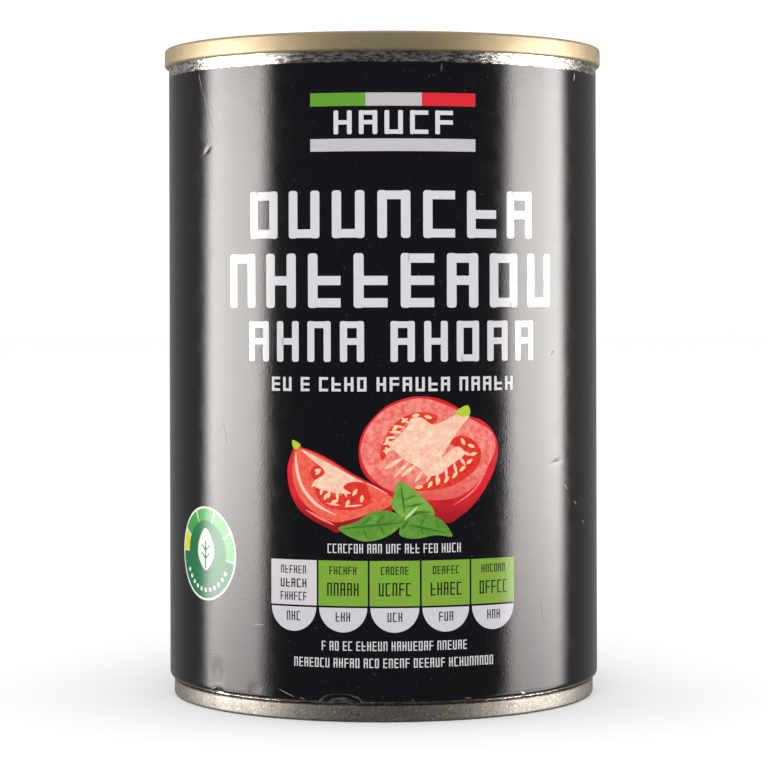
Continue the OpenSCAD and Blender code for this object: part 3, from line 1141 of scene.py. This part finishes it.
# %% Veins, seeds and highlights
def streak(x, z, end_x, end_z, width):
    """A thin pointed shape from one place to another."""
    start, end = Vector((x, z)), Vector((end_x, end_z))
    along = end - start
    aside = Vector((-along.y, along.x)).normalized() * width / 2
    middle = (start + end) / 2
    return [(x, z), tuple(middle + aside), (end_x, end_z), tuple(middle - aside)]


def streaks(*rows):
    """Several streaks. Each row holds the two places and the width of one."""
    return [streak(*row) for row in rows]


def seed(x, z, turn, length=1.3, width=0.6):
    """A seed shape round its middle, turned by some degrees."""
    lean = math.radians(turn)
    reach = Vector((math.cos(lean), math.sin(lean))) * length / 2
    return streak(*(Vector((x, z)) - reach), *(Vector((x, z)) + reach), width)


fingers = streaks(
    (1.2, 46.2, -0.9, 46.3, 0.5), (1.6, 47.0, -0.3, 47.3, 0.4), (0.2, 44.8, -1.9, 44.3, 0.5),
    (0.4, 45.4, -1.4, 45.4, 0.4), (0.2, 43.8, -1.9, 43.2, 0.5), (2.4, 47.6, 1.0, 48.6, 0.4),
    (5.9, 39.9, 5.1, 38.2, 0.5), (7.0, 39.9, 6.7, 38.0, 0.5), (8.3, 40.7, 8.4, 38.7, 0.5),
    (9.6, 41.4, 10.1, 39.5, 0.5), (10.6, 42.2, 11.6, 40.8, 0.5), (11.0, 43.0, 12.6, 42.4, 0.5),
    (4.6, 40.2, 3.2, 38.2, 0.6), (3.4, 41.0, 1.0, 39.2, 0.7), (1.4, 42.2, -1.6, 40.4, 0.7),
    (2.4, 41.6, -0.2, 39.0, 0.6), (-12.6, 38.2, -13.4, 37.5, 0.5), (-11.6, 37.4, -11.9, 36.2, 0.5),
    (-10.4, 37.1, -10.6, 35.7, 0.5), (-9.2, 36.9, -9.1, 35.4, 0.5), (-8.2, 37.3, -7.6, 35.9, 0.4),
    (-11.8, 40.2, -12.9, 40.1, 0.5),
)
picture("core_fingers", fingers, 0.055, core_ink)
seed_ink = ink("tomato_seed_ink", "E8B77A", "F0CE97", 0.6, 0.15)
seeds = [
    (3.9, 37.5, 10), (5.7, 37.9, 60), (7.0, 38.3, 65), (8.4, 38.6, 55), (9.8, 39.3, 50),
    (11.1, 40.3, 40), (12.3, 41.4, 35), (13.0, 42.6, 10), (12.6, 43.9, -20), (11.2, 44.6, -60),
    (0.1, 46.9, 45), (1.6, 48.1, 30), (3.4, 48.9, 10), (-1.2, 44.9, 75), (-1.3, 43.3, 90),
    (5.4, 48.6, -15), (-11.0, 36.0, 60), (-9.6, 35.2, 20), (-7.5, 34.9, 70), (-6.3, 36.7, 55),
    (-5.2, 35.7, 80), (-12.3, 39.9, 50),
]
picture("seeds", [seed(*place_and_turn) for place_and_turn in seeds], 0.06, seed_ink)
vein_ink = ink("pale_vein_ink", "F0B7A6")
wedge_vein = [
    (-16.1, 43.0), (-16.2, 40.4), (-15.4, 37.6), (-13.8, 35.4), (-12.1, 34.1), (-9.2, 33.0),
    (-11.9, 34.5), (-13.4, 35.8), (-14.9, 37.8), (-15.7, 40.4),
]
veins = [wedge_vein] + streaks(
    (1.4, 43.5, 4.5, 45.4, 0.5), (4.0, 41.8, 7.4, 44.6, 0.6), (4.6, 46.6, 9.6, 46.9, 0.5),
    (6.0, 43.0, 10.2, 48.0, 0.4), (-8.0, 34.4, -5.0, 34.7, 0.3), (-10.9, 34.9, -8.7, 34.6, 0.3),
)
picture("veins", veins, 0.065, vein_ink)
shine_ink = ink("skin_highlight_ink", "F2837F", "E9565A", 0.8, 0.2)
shines = [
    [(9.3, 34.4), (12.3, 36.0), (14.4, 38.2), (15.4, 40.3), (13.6, 37.6), (11.7, 35.9)],
    [(-14.6, 33.9), (-12.0, 32.3), (-9.6, 31.4), (-11.8, 32.7)],
]
picture("skin_highlights", shines, 0.035, shine_ink)
nubs = [
    [(10.0, 49.4), (11.8, 50.4), (12.4, 49.8), (12.3, 48.8), (11.0, 48.6)],
    [(-16.7, 44.9), (-15.3, 44.2), (-15.8, 43.5), (-16.5, 43.6)],
]
picture("stem_nubs", nubs, 0.06, ink("stem_green_ink", "A5BE32"))

# %% Leaves
leaf_a = [
    (-9.0, 31.0), (-6.1, 32.0), (-3.8, 33.5), (-1.4, 33.8), (0.4, 33.3), (1.6, 32.5),
    (0.4, 30.8), (-1.9, 29.4), (-4.7, 28.9), (-7.1, 29.6),
]
leaf_b = [
    (-0.4, 34.3), (-0.2, 36.1), (0.4, 38.0), (1.1, 38.4), (2.3, 37.7), (4.2, 36.1),
    (5.9, 34.4), (6.3, 33.0), (3.5, 33.4), (1.6, 32.7),
]
leaf_c = [
    (1.6, 32.4), (4.2, 33.3), (6.3, 32.9), (8.0, 31.8), (9.2, 30.1), (9.1, 29.5),
    (6.6, 29.8), (3.5, 29.3), (1.6, 29.5), (0.7, 30.3),
]
leaf_ink = ink("leaf_ink", "487F26", "659638", 1.3, 0.2)
picture("leaves", [leaf_a, leaf_c], 0.07, leaf_ink)
picture("upper_leaf", [leaf_b], 0.08, ink("light_leaf_ink", "5A8F33", "76A644", 1.3, 0.2))
dark_leaf_ink = ink("leaf_shadow_ink", "2F6A1A", "417C24", 0.9, 0.2)
folds = streaks(
    (-8.4, 30.9, 1.2, 31.9, 0.45), (-5.5, 31.3, -3.6, 32.9, 0.35), (-2.9, 31.7, -1.4, 33.4, 0.35),
    (-5.0, 31.1, -4.4, 29.4, 0.35), (-2.4, 31.5, -1.6, 29.9, 0.35), (1.8, 31.6, 8.6, 30.1, 0.4),
    (4.0, 31.2, 5.0, 32.8, 0.3), (4.2, 31.0, 4.6, 29.8, 0.3), (0.9, 30.6, 2.3, 32.3, 0.5),
)
picture("leaf_folds", folds, 0.078, dark_leaf_ink)
upper_folds = streaks(
    (1.0, 37.9, 1.6, 33.2, 0.35), (5.9, 33.5, 2.2, 33.5, 0.4), (1.3, 35.4, 3.4, 36.2, 0.3),
    (1.5, 34.3, 4.6, 34.9, 0.3),
)
picture("upper_leaf_folds", upper_folds, 0.09, dark_leaf_ink)
stalk = streaks((3.7, 34.4, 1.5, 32.3, 0.5))
picture("leaf_stalk", stalk, 0.1, ink("stalk_ink", "B7C98A"))

# %% [markdown]
# ## Scratches, nicks and painted crease highlights
# A few thin scratches in the varnish and some nicks down to the tin, placed one by one. They
# are flat slivers that are rolled on like the print.
# The three streaks that lie along the creases are painted highlights: pale lines that stand for
# the light each crease catches.

# %% Marks
def scratch_and_highlight_finish(name, swatch, metallic, rough):
    """A finish for scraped varnish, which also paints the creases' highlights, or for bared tin.
    """
    material, tree = new_material(name)
    grain = noise(tree, place(tree), 0.4, 3.0, 0.7)
    tone = blend(tree, grain, swatch, "8C8780")
    return show(material, principled(tree, tone, rough, metallic))


# The rows at (-35.6, 91.2), (30.0, 58.9) and (28.9, 40.5) lie on the creases and are painted
# highlights; the rest are scratches.
scrapes_and_crease_highlights = streaks(
    (-37.3, 104.6, -36.2, 101.6, 0.09), (-36.4, 102.0, -34.2, 97.6, 0.08),
    (-34.4, 98.2, -32.8, 95.0, 0.07), (-24.2, 15.0, -22.1, 15.05, 0.10),
    (33.0, 36.9, 33.9, 35.9, 0.12), (36.2, 34.0, 37.0, 33.2, 0.12), (39.5, 30.5, 40.2, 29.9, 0.12),
    (-19.2, 4.9, -16.4, 3.8, 0.08), (30.0, 58.9, 29.3, 58.0, 0.16), (28.9, 40.5, 32.0, 40.8, 0.14),
    (-35.6, 91.2, -33.9, 92.5, 0.16), (21.5, 66.0, 22.0, 60.8, 0.06),
    (-30.8, 47.5, -29.9, 44.2, 0.06), (26.6, 18.0, 27.4, 14.6, 0.07),
)
picture("scrapes_and_crease_highlights", scrapes_and_crease_highlights, 0.03, scratch_and_highlight_finish("scraped_varnish_and_crease_highlight", "B8B3AC", 0.0, 0.5))
nicks = streaks(
    (7.7, 103.6, 7.8, 105.0, 0.28), (36.5, 103.3, 36.7, 104.7, 0.32),
    (-15.6, 3.8, -14.7, 3.6, 0.25), (11.3, 3.7, 12.6, 3.6, 0.25), (22.0, 3.8, 22.9, 3.6, 0.22),
    (2.5, 3.7, 3.1, 3.6, 0.2),
)
picture("nicks", nicks, first_ink, scratch_and_highlight_finish("bared_tin", "D9D5CC", 1.0, 0.3))
